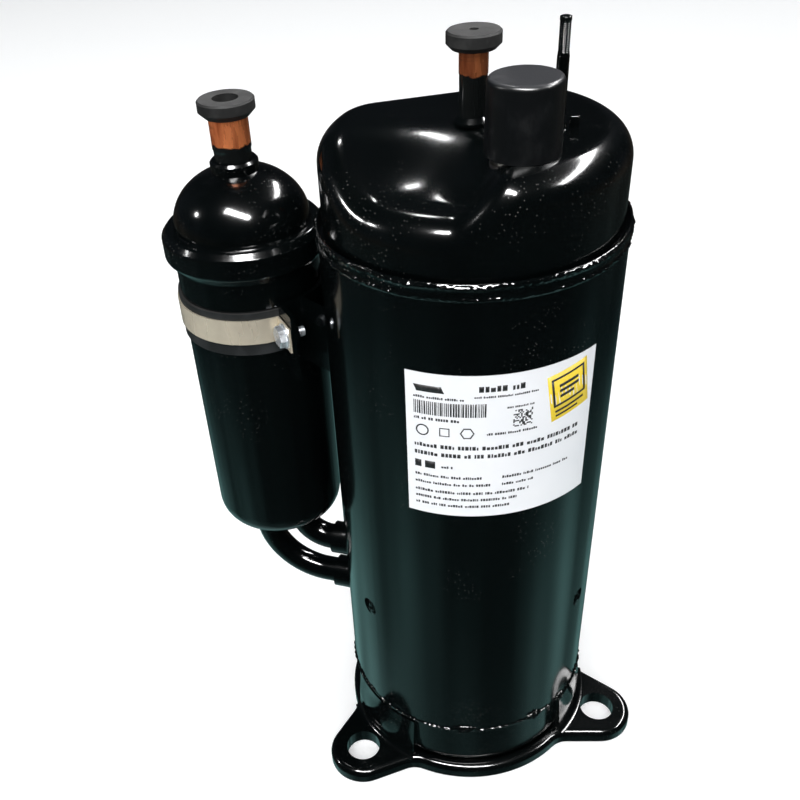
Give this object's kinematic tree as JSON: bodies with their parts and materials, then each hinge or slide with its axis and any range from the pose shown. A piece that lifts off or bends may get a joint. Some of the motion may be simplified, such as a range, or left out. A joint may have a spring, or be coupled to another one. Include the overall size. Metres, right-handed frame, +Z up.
{
  "type": "rotary refrigeration compressor with suction accumulator",
  "caption": "Hermetic upright rotary compressor: glossy black shell on a pressed foot, with a strapped-on suction accumulator, copper stubs and a terminal cover.",
  "frame": {"origin": "on the axis of the main shell, in the plane that the foot's rim stands on", "axes": "+Z up along the shell axis; the label faces -Y and the accumulator stands on the -X side"},
  "size_m": [0.2667, 0.192, 0.4315],
  "materials": {
    "black_paint": "high gloss",
    "weld": "high gloss",
    "copper": "drawn copper, handled",
    "braze": "gloss over braze",
    "plug_rubber": "matte",
    "cover_plastic": "satin",
    "stainless": "bright strip",
    "zinc": "zinc plated",
    "pad_rubber": "satin",
    "label_film": null,
    "terminal_steel": "plain",
    "pin_steel": "plain",
    "sealing_glass": "fired",
    "gasket_rubber": "matte",
    "mesh_steel": "perforated",
    "lamination": "stacked sheet",
    "insulator": "moulded",
    "enamelled_wire": "enamelled copper",
    "lead_sleeve": "fibreglass sleeve",
    "connector_plastic": "moulded",
    "cast_iron": "machined",
    "ground_steel": "ground",
    "sheet_steel": "pressed",
    "bolt_steel": "oiled",
    "spring_steel": "drawn",
    "magnet": "nickel plated",
    "balance_brass": "machined"
  },
  "bodies": {
    "housing": {"main_shell": "black_paint", "upper_cap": "black_paint", "lower_cap": "black_paint", "seam_weld_beads": "weld", "plug_welds": "weld", "mounting_foot": "black_paint", "accumulator_body": "black_paint", "accumulator_top_cap": "black_paint", "accumulator_bottom_cap": "black_paint", "suction_tube": "copper", "tube_collars": "braze", "discharge_tube": "copper", "accumulator_screen": "mesh_steel", "accumulator_baffle": "sheet_steel", "accumulator_standpipes": "copper", "outer_suction_elbow": "black_paint", "inner_suction_elbow": "black_paint", "elbow_sleeves": "black_paint", "accumulator_strap": "stainless", "strap_pad": "pad_rubber", "strap_bolt": "zinc", "strap_nut": "black_paint", "accumulator_bracket": "black_paint", "terminal_body": "terminal_steel", "terminal_glass": "sealing_glass", "terminal_pins": "pin_steel", "terminal_gasket": "gasket_rubber", "cover_stud": "black_paint", "ground_lug": "black_paint", "rating_label": "label_film", "stator_core": "lamination", "stator_insulators": "insulator", "stator_windings": "enamelled_wire", "lead_wires": "lead_sleeve", "lead_connector": "connector_plastic", "main_bearing": "cast_iron", "sub_bearing": "cast_iron", "upper_cylinder": "cast_iron", "lower_cylinder": "cast_iron", "partition_plate": "cast_iron", "pump_mufflers": "sheet_steel", "pump_bolts": "bolt_steel", "valve_retainers": "ground_steel", "vane_springs": "spring_steel"},
    "crank": {"crankshaft": "cast_iron", "oil_paddle": "sheet_steel", "rotor_core": "lamination", "rotor_magnets": "magnet", "rotor_end_plates": "sheet_steel", "rotor_rivets": "bolt_steel", "balance_weights": "balance_brass"},
    "upper_roller": {"upper_roller": "ground_steel"},
    "lower_roller": {"lower_roller": "ground_steel"},
    "upper_vane": {"upper_vane": "ground_steel"},
    "lower_vane": {"lower_vane": "ground_steel"},
    "upper_reed": {"upper_reed": "spring_steel"},
    "lower_reed": {"lower_reed": "spring_steel"},
    "terminal_cover": {"terminal_cover": "cover_plastic"},
    "discharge_plug": {"discharge_plug": "plug_rubber"},
    "suction_plug": {"suction_plug": "plug_rubber"}
  },
  "joints": [
    {"name": "crank_spin", "type": "hinge", "parent": "housing", "child": "crank", "pos_m": [0, 0, 0.102], "axis": [0, 0, 1], "continuous": true},
    {"name": "upper_roller_spin", "type": "hinge", "parent": "crank", "child": "upper_roller", "pos_m": [-0.00287, -0.0041, 0.117], "axis": [0, 0, 1], "continuous": true},
    {"name": "lower_roller_spin", "type": "hinge", "parent": "crank", "child": "lower_roller", "pos_m": [0.00287, 0.0041, 0.087], "axis": [0, 0, 1], "continuous": true},
    {"name": "upper_vane_slide", "type": "slide", "parent": "housing", "child": "upper_vane", "axis": [0.8192, -0.5736, 0], "range_m": [0, 0.005]},
    {"name": "lower_vane_slide", "type": "slide", "parent": "housing", "child": "lower_vane", "axis": [0.8192, -0.5736, 0], "range_m": [0, 0.005]},
    {"name": "upper_reed_flex", "type": "hinge", "parent": "housing", "child": "upper_reed", "pos_m": [-0.0045, 0.02608, 0.13902], "axis": [-0.5299, 0.848, 0], "range_deg": [0, 8], "stiffness_Nm_per_rad": 0.3},
    {"name": "lower_reed_flex", "type": "hinge", "parent": "housing", "child": "lower_reed", "pos_m": [-0.0045, 0.02608, 0.06498], "axis": [0.5299, -0.848, 0], "range_deg": [0, 8], "stiffness_Nm_per_rad": 0.3},
    {"name": "terminal_cover_lift", "type": "slide", "parent": "housing", "child": "terminal_cover", "axis": [0, 0, 1], "range_m": [0, 0.035]},
    {"name": "discharge_plug_pull", "type": "slide", "parent": "housing", "child": "discharge_plug", "axis": [0, 0, 1], "range_m": [0, 0.014]},
    {"name": "suction_plug_pull", "type": "slide", "parent": "housing", "child": "suction_plug", "axis": [0, 0, 1], "range_m": [0, 0.016]}
  ],
  "couplings": [
    {"joint": "upper_roller_spin", "follows": "crank_spin", "ratio": -1},
    {"joint": "lower_roller_spin", "follows": "crank_spin", "ratio": -1}
  ]
}
